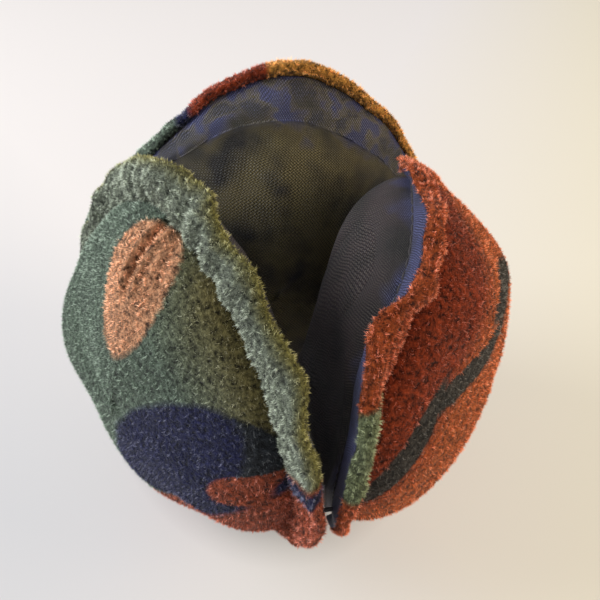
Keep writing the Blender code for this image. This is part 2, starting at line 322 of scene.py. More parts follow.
def outline(inset, turns):
    """Superellipse: each side's half length times the cosine or sine, to the power 2 / outline_power.

    Both halves below the joins are drawn in a little, most of all halfway down to the foot.
    """
    cosine, sine = np.cos(turns), np.sin(turns)
    from_foot = np.abs(np.degrees(turns) - 270)
    narrow = 1 - lower_narrowing * np.exp(-(((from_foot - narrow_degrees) / narrow_reach) ** 2))
    power = 2 / outline_power
    along = (join_half_span + tip_past_join - inset) * np.sign(cosine) * np.abs(cosine) ** power
    up = (half_height - inset) * np.sign(sine) * np.abs(sine) ** power
    return along * narrow, up * narrow


def unit(vectors):
    return vectors / np.linalg.norm(vectors, axis=-1, keepdims=True)


def larger(first, second, rounding=fold_radius):
    """The larger of two surfaces, with a rounded fold: half of their sum and of a softened difference."""
    return 0.5 * (first + second + np.sqrt((first - second) ** 2 + rounding**2))


def neighbour_limit(along, up):
    """The plane halfway to the next cushion, moved out by what the swing needs at this height."""
    return (np.abs(along) - join_half_span) * spread + neighbour_gap + np.abs(up) * sway


def read_round(rows, turns):
    """Each column of the rows at each turn: straight between the degrees of the first column."""
    degrees, *columns = np.array(rows, float).T
    return [np.interp(np.degrees(turns), degrees, column) for column in columns]


def seam_drift(name, turns):
    """How much farther in the seam runs than its even distance from the free edge."""
    return read_round(seam_drifts[name], turns)[0] / 1000


def middle_sheet(name, along, up):
    """The cushion's middle surface: its bends, each a bell over its place, kept off the neighbours."""
    bent = np.zeros_like(along)
    for x, z, reach, depth in bends[name]:
        bent += depth / 1000 * np.exp(-((1000 * along - x) ** 2 + (1000 * up - z) ** 2) / reach**2)
    return larger(bent, neighbour_limit(along, up))


def crowned(name, turns, shares, inset, foot, crown, slump=0.0):
    """A stuffed face, ring by ring from its crown to its seam.

    Each ring follows a meridian angle from 0 to a quarter turn: the outline times its sine, and a
    height from the crown down to the foot by its cosine. The lower part is let down by a share, the
    slump, along a smooth step in height.
    """
    along, up = outline(inset + seam_drift(name, turns), turns)
    angle = shares * math.pi / 2
    along, up = along * np.sin(angle)[:, None], up * np.sin(angle)[:, None]
    let_down = 1 - slump / (1 + np.exp((1000 * up - slump_start_mm) / slump_reach_mm))
    height = foot + (crown - foot) * np.cos(angle)[:, None] * let_down
    return np.stack([along, middle_sheet(name, along, up) + height, up], axis=2)


def pocket_face(name, turns, shares, inset, foot, depth):
    """The face towards the pocket: crowned the other way, and kept off the planes between cushions."""
    face = crowned(name, turns, shares, inset, foot, depth)
    along, up = face[..., 0], face[..., 2]
    sunk = 2 * middle_sheet(name, along, up) - face[..., 1]
    limit = neighbour_limit(along, up) + max(-foot, 0.0) / math.cos(math.radians(30))
    face[..., 1] = larger(sunk, limit)
    return face


def in_row_frame(name, points):
    """A cushion's own axes, X along its two joins, Y outwards and Z up, carried to its place."""
    along = unit(np.array(swings[name]["axis"], float))
    outward = np.cross([0.0, 0.0, 1.0], along)
    axes = np.stack([along, outward, [0.0, 0.0, 1.0]])
    return points @ axes + np.array(swings[name]["pos_m"], float)


def closed_skin(name, rings, poles):
    """A closed mesh of quads between rings of points, and triangles to a pole past either end.

    Its faces are turned outwards if the volume that they close comes out negative.
    """
    count, steps = rings.shape[:2]
    points = np.concatenate([poles[:1], rings.reshape(-1, 3), poles[1:]])
    quads = 1 + ring_quads(count, steps)
    ends = np.arange(steps)
    nexts = (ends + 1) % steps
    last = 1 + (count - 1) * steps
    tops = np.stack([np.zeros(steps, int), 1 + nexts, 1 + ends], axis=1)
    feet = np.stack([np.full(steps, last + steps), last + ends, last + nexts], axis=1)
    triangles = np.concatenate([tops, feet, quads[:, [0, 1, 2]], quads[:, [0, 2, 3]]])
    corners = points[triangles] - points.mean(0)
    if np.einsum("ij,ij->i", corners[:, 0], np.cross(corners[:, 1], corners[:, 2])).sum() < 0:
        quads, tops, feet = quads[:, ::-1], tops[:, ::-1], feet[:, ::-1]
    return smooth_mesh(name, points, quads.tolist() + tops.tolist() + feet.tolist())


def add_piece(name, mesh, finish, cushion, nodes=()):
    piece = linked(name, mesh)
    piece.data.materials.append(finish.material)
    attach(piece, f"{cushion}_cushion" if cushion in swings else cushion)
    if nodes:
        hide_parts(*nodes)
    return piece


def swollen(name):
    """How far each point of both faces moves when the sewn cushion is blown up as cloth.

    A lens of two faces, pinned along its seam and cut a little large, is simulated under pressure.
    Each ring's average move is taken out, so that the crowns stay, and the move of each point is
    capped. They come back as two arrays of rings by steps by 3.
    """
    turns = turns_of(swell_steps)
    shares = shares_of(swell_rings)
    front_crown = outer_crowns[name]
    front = crowned(name, turns, shares, seam_inset, seam_height, front_crown, lower_slumps[name])
    depth = inner_crowns[name]
    back = pocket_face(name, turns, shares[:-1], seam_inset, seam_height, depth)[::-1]
    rings = np.concatenate([front, back])
    poles = np.array([[0, front_crown, 0], [0, -depth, 0]])
    lens = linked("swelling", closed_skin("swelling", rings, poles))
    seam = lens.vertex_groups.new(name="seam")
    seam_start = 1 + (swell_rings - 1) * swell_steps
    seam.add(list(range(seam_start, seam_start + swell_steps)), 1.0, "REPLACE")
    cloth = lens.modifiers.new("cloth", "CLOTH")
    for setting, value in swell_cloth.items():
        setattr(cloth.settings, setting, value)
    cloth.settings.effector_weights.gravity = 0.0
    cloth.settings.shrink_min = -0.05 - 0.01 * np.random.default_rng(seeds[name]).random()
    cloth.point_cache.frame_start, cloth.point_cache.frame_end = 1, swell_frames
    for number in range(1, swell_frames + 1):
        bpy.context.scene.frame_set(number)
    puffed = lens.evaluated_get(bpy.context.evaluated_depsgraph_get()).to_mesh()
    after = np.empty(len(puffed.vertices) * 3, np.float32)
    puffed.vertices.foreach_get("co", after)
    bpy.data.objects.remove(lens)
    bpy.context.scene.frame_set(1)
    move = after.reshape(-1, 3)[1:-1].reshape(rings.shape) - rings
    move -= move.mean(axis=1, keepdims=True)
    length = np.linalg.norm(move, axis=2, keepdims=True)
    move *= np.minimum(1, swell_cap / np.maximum(length, 1e-9))
    seam_ring = np.zeros((1, swell_steps, 3))
    return move[:swell_rings], np.concatenate([seam_ring, move[swell_rings:]])[::-1]


moves = {name: swollen(name) for name in swings}

fibre_white = dye(232, 230, 224)
finish = Finish("polyester_fibre", Roughness=0.9, Sheen_Weight=0.4)
tangle = finish.noise(finish.place(), 0.0011, 5.0, 0.7)
finish.feed(
    Base_Color=finish.shaded(fibre_white, tangle * 0.35 + 0.8),
    Normal=finish.bump(tangle, 0.0006),
)
for name in swings:
    turns = turns_of(filling_steps)
    shares = shares_of(filling_rings)[:-2]
    wall = fleece_wall + filling_gap
    inset = seam_inset + wall + filling_cut
    crown = outer_crowns[name] - wall - filling_sag
    front = crowned(name, turns, shares, inset, seam_height + wall, crown, lower_slumps[name])
    gap = lining_wall + filling_gap + filling_cut
    depth = inner_crowns[name] - gap
    back = pocket_face(name, turns, shares, inset, -gap, depth)[::-1]
    poles = in_row_frame(name, np.array([[0, crown, 0], [0, -depth, 0]]))
    mesh = closed_skin(f"fibre_wad_{name}", in_row_frame(name, np.concatenate([front, back])), poles)
    wad = add_piece(f"fibre_wad_{name}", mesh, finish, name, [f"filling_{name}"])


# Linings
# The face towards the pocket is a dark plain-woven nylon, cut to the same outline as the fleece
# and pushed out by the filling. It shows its weave, and small gathers along the seam. Its colour
# carries painted light: plum and brown reflections, blue sheen, pale glints and black shade by the rim.
cloth_steps = 480
cloth_turns = turns_of(cloth_steps)
smoothings = (1, 2, 3, 5, 8)
lining_face_rings, hollow_rings, strip_rings = 64, 12, 12
lining_setback = 0.0002
gather_reach = 0.16
gather_depths = {"left": 0.0005, "right": 0.0006, "back": 0.0004}
# The back lining's bowl: its folds, how far past the flange its outline lies in flange widths, and
# from which share of the way out, over which share, the joins hold it.
fold_share, bowl_inset, hold_start, hold_span = 0.1, -0.7, 0.5, 0.25
wave_fade = 0.011
scallops = {"left": 0.00042, "right": 0.00050, "back": 0.00018}
edge_blend = np.hanning(9) / np.hanning(9).sum()
weave_pitch_mm, weave_cosine, weave_sine = 0.42, 0.8, 0.6
sheen_blue = (0.55, 0.6, 1.0, 1.0)
bake_tile_mm, bake_face, bake_hollow = 140, (0.42, 0.5), (0.9, 0.12)
# The cloth's own near-black, then painted reflections of the room's light in plum and brown.
lining_black, painted_plum_reflection, painted_brown_reflection = dye(20, 17, 18), dye(64, 50, 52), dye(110, 99, 60)
# Painted blue sheen, then the pale and blue colours of painted glints on the threads.
painted_blue_sheen, painted_pale_glint, painted_blue_glint = dye(48, 53, 98), dye(112, 106, 92), dye(150, 156, 208)
painted_reflections = {"left": painted_plum_reflection, "right": painted_plum_reflection, "back": painted_brown_reflection}
# Each flange's free edge, by degrees round the cushion from its +X join: how far it leans outwards,
# and how much narrower the flange is there, both in millimetres.
flange_edges = {
    "left": (
        (0, -1, 2), (8, -2, 4.4), (16, -2, 5), (24, -2, 5), (31, -1.6, 4.6), (37, -2.4, 4.4),
        (43, -1.4, 3.2), (49, 0, 1.6), (57, -0.4, 2.8), (64, 0, 2.4), (70, 0.3, 1.4), (84, 0.1, 0.8),
        (90, -0.2, 0.6), (95, -1.4, 0.8), (101, -2.4, 0.8), (107, 0.2, 1), (114, 0.9, 0.6), (120, 0.8, 0),
        (127, 0.6, 1.2), (133, 1.2, 0.9), (138, 2.2, 0.6), (143, 0.2, 0.6), (149, -0.2, 1.8), (154, 0.4, 2),
        (160, 1.2, 2.2), (170, 0.8, 2), (180, 0.3, 0.8), (189, 0.8, 1.2), (199, 0.6, 2.4), (215, -0.6, 4.6),
        (245, -2, 5), (262, -1, 0.2), (278, 0, 0), (320, -0.6, 3.4), (345, -1.4, 4), (360, -1, 2),
    ),
    "right": (
        (0, 0.3, 0.8), (10, -0.3, 1.2), (17, -0.9, 1.2), (24, -3.6, 0.4), (30, -4.2, 0.4), (36, -4.2, 0.4),
        (42, -3.3, 0), (47, -2.6, 0), (50.5, -0.6, 0), (54, 4.4, 0), (58, 4.2, 0.1), (62, 2.6, 0.2),
        (66, 1, 0.3), (71, 2.2, 0.3), (77, 1.7, 0.6), (84, -1, 2.2), (92, -3, 4.2), (110, -4.2, 5.6),
        (135, -3.6, 5.8), (158, -2, 3.5), (180, 0, 0.6), (262, 0, 0), (278, 0, 0), (300, -1, 3.4),
        (325, -1, 4.4), (344, 0, 3.8), (353, 0.2, 1.8), (360, 0.3, 0.8),
    ),
    "back": (
        (0, 0, 1.2), (22, 0, 2.8), (32, 0, 2.2), (45, -1, 0.2), (62, -2.6, -1.6), (75, -2.9, -3.2),
        (88, -3.2, -3.2), (94, -3, -1.2), (105, -2.6, -0.6), (120, -1.4, 3), (132, -0.6, 4.2), (145, 0, 4),
        (165, 0, 1.5), (180, 0, 0.6), (262, 0, 0), (278, 0, 0), (360, 0, 0.6),
    ),
}
# How much of the flange the fleece's turned-in edge covers on the lining's side, by degrees.
hem_shares = {
    "left": ((0, 0.125), (360, 0.125)),
    "right": ((0, 0.125), (360, 0.125)),
    "back": ((0, 0.2), (40, 0.24), (115, 0.28), (128, 0.5), (150, 0.5), (170, 0.2), (360, 0.2)),
}


def refined(moves, shares):
    """A coarse array of moves read at the cloth's rings and steps, straight between them, then smoothed."""
    coarse = moves.shape[1]
    held = np.concatenate([np.repeat(moves[:1].mean(1, keepdims=True), coarse, 1), moves])
    rows = shares * (len(held) - 1)
    low = np.clip(rows.astype(int), 0, len(held) - 2)
    part = (rows - low)[:, None, None]
    rings = held[low] * (1 - part) + held[low + 1] * part
    columns = np.arange(cloth_steps) * coarse / cloth_steps
    left = columns.astype(int)
    part = (columns - left)[None, :, None]
    fine = rings[:, left] * (1 - part) + rings[:, (left + 1) % coarse] * part
    for reach in smoothings:
        fine = (np.roll(fine, reach, 1) + 2 * fine + np.roll(fine, -reach, 1)) / 4
        edged = np.concatenate([fine[:1].repeat(reach, 0), fine, np.zeros_like(fine[:reach])])
        fine = (edged[: -2 * reach] + 2 * fine + edged[2 * reach :]) / 4
    return fine


def ripples(seed, lowest, highest, size):
    """A sum of cosines round the cushion, from the lowest to the highest count, of this usual height."""
    random = np.random.default_rng(seed)
    counts = np.arange(lowest, highest + 1)
    parts = np.cos(cloth_turns[:, None] * counts + random.random(len(counts)) * 2 * math.pi)
    return size * (parts * random.normal(1.0, 0.35, len(counts))).sum(1) / math.sqrt(len(counts) / 2)


# 0 at the two joins, where the stitches hold the flanges flat, and 1 well away from them.
along, up = outline(flange_width, cloth_turns)
clear_of_joins = 1 - np.exp(-((np.hypot(np.abs(along) - join_half_span + flange_width, up) / wave_fade) ** 2))


def flange_line(name, width_shares):
    """The flange's inner face, ring by ring from seam to free edge, for shares of its width.

    The outline at each inset, scalloped in its plane, on the middle sheet. Scallop, lean and ripple
    grow with powers of the way out, and the face stays on its side of the planes between neighbours.
    """
    scallop = ripples(seeds[name], 13, 26, scallops[name]) * clear_of_joins
    ripple = ripples(seeds[name] + 1, 9, 20, 1.5 * scallops[name]) * clear_of_joins
    three_rounds = [np.tile(column, 3) for column in read_round(flange_edges[name], cloth_turns)]
    blended = [np.convolve(column, edge_blend, "same") for column in three_rounds]
    lean, trim = (column[cloth_steps:-cloth_steps] / 1000 for column in blended)
    drift = seam_drift(name, cloth_turns)
    rings = []
    for share in width_shares:
        out = np.maximum(share, 0)
        along, up = outline((flange_width + drift) * (1 - share) + trim * out, cloth_turns)
        outward = np.stack([along, up]) / np.hypot(along, up)
        along, up = np.stack([along, up]) + outward * scallop * out**1.3
        bent = lean * out**1.6 + ripple * out**1.2
        sheet = larger(middle_sheet(name, along, up) + bent, neighbour_limit(along, up))
        rings.append(np.stack([along, sheet, up], axis=1))
    return np.stack(rings)


def lifted(rings, heights):
    """Rings moved outwards, along the cushion's own Y, by a height for each ring or each point."""
    moved = rings.copy()
    moved[..., 1] += heights
    return moved


def rested(points):
    """Points below the floor pressed up to it."""
    pressed = points.copy()
    pressed[..., 2] = np.maximum(pressed[..., 2], rest_height)
    return pressed


def add_map(mesh, name, values, wraps=False):
    """A UV map from one pair of numbers for each vertex.

    Where the second wraps, as a turn does at its start, a face's smaller values are raised by 1.
    """
    corners = np.empty(len(mesh.loops), np.int32)
    mesh.loops.foreach_get("vertex_index", corners)
    pairs = values[corners]
    if wraps:
        starts = np.empty(len(mesh.polygons), np.int32)
        mesh.polygons.foreach_get("loop_start", starts)
        sizes = np.diff(np.append(starts, len(corners)))
        most = np.repeat(np.maximum.reduceat(pairs[:, 1], starts), sizes)
        pairs[:, 1] += most - pairs[:, 1] > 0.5
    mesh.uv_layers.new(name=name).data.foreach_set("uv", pairs.astype(np.float32).ravel())


def cut_places(reaches):
    """Flat places in millimetres on the cut cloth: the seam's outline times each ring's reach."""
    return 1000 * reaches[:, None, None] * np.stack(outline(seam_inset, cloth_turns), axis=1)


def cloth_skin(title, name, outer, hollow, reaches):
    """A panel: its showing rings, then the rings of its hollow side, with its pattern and bake maps."""
    poles = np.stack([outer[0].mean(0), hollow[-1].mean(0)])
    rings = in_row_frame(name, np.concatenate([outer, hollow]))
    mesh = closed_skin(f"{title}_{name}", rings, in_row_frame(name, poles))
    places = np.concatenate([cut_places(reaches), cut_places(np.linspace(1, 0.05, len(hollow)))])
    ends = np.zeros((1, 2))
    grain = np.concatenate([ends, places.reshape(-1, 2), ends])
    add_map(mesh, "grain", grain)
    reach = np.append(reaches, np.full(len(hollow), 0.5))[:, None]
    around = np.stack(np.broadcast_arrays(reach, cloth_turns / (2 * math.pi)), axis=2)
    add_map(mesh, "round", np.concatenate([ends, around.reshape(-1, 2), ends]), wraps=True)
    bake = grain / bake_tile_mm
    showing = 1 + outer.shape[0] * cloth_steps
    bake[:showing] += bake_face
    bake[showing:] = bake[showing:] * 0.3 + bake_hollow
    add_map(mesh, "OFBake", bake)
    return mesh


def bowl(name, rings, wall=0.0):
    """Heights of a lining that isn't drawn in at its seam, as on the back cushion.

    Its depth is the crown's times 1 minus the square of the way out, with soft folds towards the
    edge, and it comes up to the middle sheet where the joins hold it.
    """
    along, up = rings[..., 0], rings[..., 2]
    way_out = np.hypot(along, up) / np.hypot(*outline(bowl_inset * flange_width, cloth_turns))
    held = (1 - clear_of_joins) * np.clip((way_out - hold_start) / hold_span, 0, 1)
    folds = ripples(seeds[name] + 7, 4, 13, fold_share) * way_out**4
    depth = inner_crowns[name] * np.clip(1 - way_out**2, 0, 1) * (1 + folds) * (1 - held)
    return middle_sheet(name, along, up) - depth + wall


def kept_clear(rings, wall=0.0):
    """Rings kept outside the planes between neighbours, by a wall if they are on a cloth's other side."""
    rings[..., 1] = larger(rings[..., 1], neighbour_limit(rings[..., 0], rings[..., 2]) + wall)
    return rings


def lining_panel(name):
    shares = shares_of(lining_face_rings)
    hollow_shares = np.linspace(0.97, 0.08, hollow_rings)
    inset, depth, swell = seam_inset + lining_wall, inner_crowns[name], moves[name][1]
    face = pocket_face(name, cloth_turns, shares, seam_inset, 0.0, depth)
    hollow = pocket_face(name, cloth_turns, hollow_shares, inset, -lining_wall, depth)
    last_share = 1 - lining_setback / flange_width - read_round(hem_shares[name], cloth_turns)[0]
    width_shares = 0.02 + (last_share - 0.02) * np.linspace(0, 1, strip_rings)[:, None]
    strip = flange_line(name, width_shares)
    if name == "back":
        face[..., 1] = bowl(name, face)
        hollow[..., 1] = bowl(name, hollow, lining_wall)
        free = 1 - (width_shares / last_share) ** 3
        sheet = middle_sheet(name, strip[..., 0], strip[..., 2])
        strip[..., 1] += (bowl(name, strip) - sheet) * free
    face += refined(swell, shares)
    hollow += refined(swell, hollow_shares)
    midway = np.sin(shares * math.pi)[:, None]
    near = np.exp(-((1 - shares) / gather_reach) * 1.2)[:, None] * midway**0.5
    gathers = ripples(seeds[name] + 2, 14, 34, gather_depths[name]) * clear_of_joins
    dents = ripples(seeds[name] + 3, 3, 9, 2 * gather_depths[name])
    face[..., 1] += near * gathers + midway**2 * dents * 0.3
    face, strip = kept_clear(face), kept_clear(strip)
    outer = rested(np.concatenate([face, strip, lifted(strip[-1:], lining_wall)]))
    under = np.concatenate([lifted(strip[-2::-3], lining_wall), kept_clear(hollow, lining_wall)])
    reaches = np.concatenate([shares, 1 + np.linspace(0.02, 0.85, strip_rings) * 0.18, [1.19]])
    return cloth_skin("lining_cloth", name, outer, rested(under), reaches)


def woven_nylon(name):
    """Plain weave cut on the slant: warp and weft stand proud in turn, each thread half a sine wave."""
    finish = Finish(f"woven_nylon_{name}", Roughness=0.46, Sheen_Weight=0.06, Sheen_Roughness=0.4)
    finish.shader.inputs["Sheen Tint"].default_value = sheen_blue
    grain = finish.map("grain")
    across, up, _ = finish.parts(grain)
    pulled = finish.noise(grain, 5.0, 1.0) * 1.2
    across, up = across + pulled, up - pulled
    turn = math.pi / weave_pitch_mm
    warp = ((across * weave_cosine + up * weave_sine) * turn).sine()
    weft = ((up * weave_cosine - across * weave_sine) * turn).sine()
    over = (warp * weft).share(-0.25, 0.25)
    thread = (abs(warp) * over).at_least(abs(weft) * (1 - over))
    reach, around, _ = finish.parts(finish.map("round"))
    degrees = around * 360
    soft = finish.noise(finish.place(), 0.009, 2.0)
    patches = finish.noise(finish.place(), 0.0055, 2.0)
    # Painted reflection: the near-black cloth tinted plum or brown in soft patches.
    tinted = finish.mix(soft.share(0.3, 0.6), lining_black, painted_reflections[name])
    glint_share = 0.75
    if name == "back":
        glint_share = 0.3
        edge = (reach + (soft - 0.5) * 1.2).share(0.84, 1.06)
        blue_sheen_share = (patches.share(0.46, 0.56) * 0.95).at_least(degrees.share(140, 165) * 0.8)
    else:
        edge = (reach + (soft - 0.5) * 0.5).share(0.9, 1.03)
        blue_sheen_share = degrees.share(8, 24) * degrees.share(350, 330) * 0.85
    # Painted blue sheen towards the rim, then painted shade: the rim darkened to black in patches.
    tinted = finish.mix(edge * blue_sheen_share, tinted, painted_blue_sheen)
    tinted = finish.mix(edge * (1 - patches.share(0.4, 0.5)) * 0.85, tinted, lining_black)
    # Painted highlights: pale glints on the threads' crowns, bluer towards the rim.
    glint = thread.share(0.66, 1.0) * finish.noise(grain, 0.35, 1.0).share(0.25, 0.7)
    pale = finish.mix(edge, painted_pale_glint, painted_blue_glint)
    colour = finish.mix(glint * glint_share, finish.shaded(tinted, thread * 1.35), pale)
    finish.feed(Base_Color=colour, Roughness=0.62 - thread * 0.18, Normal=finish.bump(thread, 0.0002))
    return finish


for name in swings:
    mesh, finish = lining_panel(name), woven_nylon(name)
    panel = add_piece(mesh.name, mesh, finish, name, [f"lining_panel_{name}"])


# Fleece panels
# The outer face is thick anti-pill fleece, turned under at its edge and topstitched to the lining,
# so that a soft lip stands round the cushion outside a deep crease.
fleece_face_rings, lip_rings = 88, 26
lip_lofts = {"left": 0.0033, "right": 0.0031, "back": 0.0042}
# Beside the foot the lip is pressed flatter: by what share, how far from the foot, over what reach.
flat_share, flat_degrees, flat_reach = 0.5, 62, 24
# The lip's section from the crease over the top to its free edge: share of the width, share of the
# loft. The hem then runs back on the lining's side: share of the hem, share of the loft.
lip_section = (
    (0.0, 0.12), (-0.02, 0.42), (0.05, 0.78), (0.23, 1.0), (0.48, 1.06), (0.7, 1.0), (0.88, 0.8),
    (0.985, 0.5), (1.015, 0.2), (0.995, -0.1),
)
hem_section = ((0.4, -0.25), (0.8, -0.2), (1.0, 0.0))
pinch_reach, pinch_share = 0.0045, 0.45
# Puckers along the seam, how far in they reach and how deep they are, then the depth of the dents.
pucker_reach, pucker_depth, dent_depth = 0.09, 0.00055, 0.00015
hollow_sag = 0.001
green, lip_green, moss = dye(120, 137, 118), dye(150, 158, 138), dye(150, 160, 118)
olive, shaded_olive, amber = dye(150, 142, 62), dye(142, 128, 76), dye(246, 176, 84)
navy, slate, charcoal = dye(44, 47, 88), dye(58, 62, 68), dye(78, 72, 66)
rust, light_rust, brick = dye(176, 72, 36), dye(222, 116, 56), dye(186, 92, 60)
salmon, tip_grey = dye(250, 184, 138), dye(196, 196, 190)
# Furrows where the filling pulls the cloth towards its seam: their two ends, width and depth, in
# millimetres on the cut cloth but for the depth.
furrows = {
    "left": (((-1.6, 38.5), (-1.6, 19.5), 0.45, 0.0013), ((-5, 38), (-6.6, 24), 0.7, 0.0004)),
    "right": (((28, 30), (20, 20), 1.2, 0.0005),),
    "back": (),
}
# Places that the filling pushes out or leaves slack: where on the cut cloth, how wide, how far.
swells = {
    "left": (((17, -3), 7, 0.0020), ((3, -12), 6, 0.0008), ((-13, -21), 7, -0.0009), ((29, 6), 5, -0.0006)),
    "right": (((-12, 12), 6, 0.0012), ((-19, 28), 8, -0.0026)),
    "back": (),
}


def spline(points, count):
    """A smooth line through points by Catmull and Rom's cubic, at even steps of its parameter."""
    points = np.array(points, float)
    longer = np.concatenate([2 * points[:1] - points[1:2], points, 2 * points[-1:] - points[-2:-1]])
    place = np.linspace(0, len(points) - 1, count)
    index = np.minimum(place.astype(int), len(points) - 2)
    t = (place - index)[:, None]
    a, b, c, d = (longer[index + offset] for offset in range(4))
    return 0.5 * (2 * b + (c - a) * t + (2 * a - 5 * b + 4 * c - d) * t**2 + (3 * b - a - 3 * c + d) * t**3)


def outward_normals(rings):
    """Unit normals of rings of points, from the differences along and round them."""
    down = np.gradient(rings, axis=0)
    round_it = (np.roll(rings, -1, 1) - np.roll(rings, 1, 1)) / 2
    return unit(np.cross(round_it, down))


def crease_line(flat, start, end, width, depth):
    """A furrow on the cut cloth between two places in millimetres, with a swell along each side.

    Distance across the line gives the furrow as a narrow bell and the swells as a wide one, and
    both fade towards the line's ends.
    """
    start, end = np.array(start, float), np.array(end, float)
    length = np.linalg.norm(end - start)
    way = (end - start) / length
    along = (flat - start) @ way / length
    across = (flat - start) @ np.array([-way[1], way[0]])
    fade = np.clip(np.minimum((along + 0.05) / 0.2, (1.05 - along) / 0.35), 0, 1)
    sides = 0.55 * np.exp(-((np.abs(across) - 2.6 * width) ** 2) / width**2)
    return depth * (-np.exp(-((across / width) ** 2)) + sides) * fade**2 * (3 - 2 * fade)


def fleece_face(name):
    shares = shares_of(fleece_face_rings)
    crown, slump = outer_crowns[name], lower_slumps[name]
    face = crowned(name, cloth_turns, shares, seam_inset, seam_height, crown, slump)
    face += refined(moves[name][0], shares)
    flat = cut_places(shares)
    midway = np.sin(shares * math.pi)[:, None]
    near = np.exp(-(1 - shares) / pucker_reach)[:, None] * midway**0.5
    rise = near * ripples(seeds[name] + 4, 10, 30, pucker_depth) * clear_of_joins
    rise += midway * ripples(seeds[name] + 5, 2, 7, dent_depth)
    for start, end, width, depth in furrows[name]:
        rise += crease_line(flat, start, end, width, depth)
    for place, reach, height in swells[name]:
        rise += height * np.exp(-(((flat - np.array(place)) ** 2).sum(2)) / reach**2)
    rise[-1] = 0
    return face + outward_normals(face) * rise[..., None], shares


def lip_rings_of(name):
    """The lip's rings: the flange's inner face at the section's widths, lifted by its lofts."""
    section = spline(lip_section + tuple((1 - part, loft) for part, loft in hem_section), lip_rings)
    hem = read_round(hem_shares[name], cloth_turns)[0]
    back_side = np.arange(lip_rings) > lip_rings * 0.72
    widths = np.where(back_side[:, None], 1 - (1 - section[:, :1]) * hem, section[:, :1])
    base = flange_line(name, widths)
    along, up = base[..., 0], base[..., 2]
    pinched = 1 - pinch_share * np.exp(-((np.hypot(np.abs(along) - join_half_span, up) / pinch_reach) ** 2))
    lumps = 1 + ripples(seeds[name] + 6, 14, 52, 0.09) * clear_of_joins
    from_foot = np.abs(np.degrees(cloth_turns) - 270)
    lumps = lumps * (1 - flat_share * np.exp(-(((from_foot - flat_degrees) / flat_reach) ** 2)))
    heights = lining_wall + layer_gap + lip_lofts[name] * section[:, 1, None] * pinched * lumps
    return lifted(base, heights)


def fleece_panel(name):
    face, shares = fleece_face(name)
    outer = rested(np.concatenate([face, lip_rings_of(name)]))
    floor = flange_line(name, np.array([0.6, 0.25, -0.1]))
    hollow_shares = np.linspace(0.96, 0.08, hollow_rings)
    inset = seam_inset + fleece_wall
    inner, slump = outer_crowns[name] - fleece_wall - hollow_sag, lower_slumps[name]
    hollow = crowned(name, cloth_turns, hollow_shares, inset, seam_height, inner, slump)
    hollow += refined(moves[name][0], hollow_shares)
    under = rested(np.concatenate([lifted(floor, lining_wall + layer_gap), hollow]))
    reaches = np.concatenate([shares, 1.0 + 0.22 * np.linspace(0.01, 1, lip_rings)])
    return cloth_skin("fleece_cloth", name, outer, under, reaches), outer, reaches


def spot(x, y, place, size, turn=0.0, soft=0.12):
    """1 inside an ellipse on the cut cloth and 0 outside: its radius in shares, softened at the edge."""
    cosine, sine = math.cos(math.radians(turn)), math.sin(math.radians(turn))
    dx, dy = x - place[0], y - place[1]
    wide = (dx * cosine + dy * sine) / size[0]
    high = (dy * cosine - dx * sine) / size[1]
    return 1 - (wide * wide + high * high).share(1 - soft, 1 + soft)


def painted(finish, ground, *patches):
    """A ground colour with patches over it in turn, each a mask and a colour."""
    for mask, colour in patches:
        ground = finish.mix(mask, ground, colour)
    return ground


def left_print(finish, x, y, reach):
    """Green, with a salmon oval above, a navy patch below, brick towards the foot and an olive lip."""
    on_lip = reach.share(1.0, 1.02)
    near_seam = reach.share(0.45, 0.85) * (0 - x).share(0, 14) * 0.9
    near_tip = (0 - x).share(32, 35)
    foot = (-2.8 - 0.69 * (x + 26.8) - y).share(-0.7, 0.7)
    past_brick = y - 0.7 + (x + 36.4) * 0.21 - (0 - x - 43.5).at_least(0) * 1.4
    past_navy = y - 3.8 + (x + 36.1) * 0.57
    return painted(
        finish,
        green,
        (near_seam * (1 - on_lip), shaded_olive),
        (on_lip, lip_green),
        (reach.share(1.11, 1.16) * 0.85, olive),
        (spot(x, y, (-26.5, 7.5), (10.5, 6.5), -12), slate),
        (spot(x, y, (-13, -1.5), (8.7, 18.5), 43), navy),
        (spot(x, y, (-20.5, -6.8), (10, 3.4), -37), navy),
        (spot(x, y, (-29.5, 1.6), (10, 2.9), -20), brick),
        (foot, brick),
        (past_brick.share(0.6, -0.6) * near_tip, brick),
        (past_brick.share(-0.6, 0.6) * past_navy.share(0.6, -0.6) * near_tip, navy),
        (spot(x, y, (-1.6, 23.6), (6.3, 14.0), 10), salmon),
    )


def right_print(finish, x, y, reach):
    """Rust, lighter past a charcoal band that runs down to the front join, and a moss patch on the lip."""
    upper = spot(x, y, (-2, 15.4), (9.5, 2.6), 10, 0.2)
    middle = spot(x, y, (12.5, 12.6), (11, 2.2), -3, 0.2)
    lower = spot(x, y, (28, 7.0), (13, 2.3), -42, 0.2)
    moss_patch = reach.share(0.97, 1.0) * y.share(6.2, 7.2) * y.share(23.0, 22.0) * x.share(30, 34)
    return painted(
        finish,
        rust,
        ((28 - 0.9 * x - y).share(-4, 4) * 0.95, light_rust),
        (reach.share(1.02, 1.1) * 0.45, light_rust),
        (upper.at_least(middle).at_least(lower), charcoal),
        (moss_patch, moss),
    )


def back_print(finish, x, y, degrees):
    """The rim runs from amber over rust and navy to green; below it green, rust and navy patches on amber."""
    upper = (y - 10 - x * 0.25 + (x * 0.2).sine() * 2.5).share(-0.8, 0.8)
    return painted(
        finish,
        amber,
        (degrees.share(92, 94) * upper, rust),
        (degrees.share(116, 118) * upper, navy),
        (degrees.share(121, 123) * upper, green),
        (spot(x, y, (-16, -14), (17, 9), 20), green),
        (spot(x, y, (20, -6), (9, 15), -25), rust),
        (spot(x, y, (6, -27), (11, 6)), navy),
    )


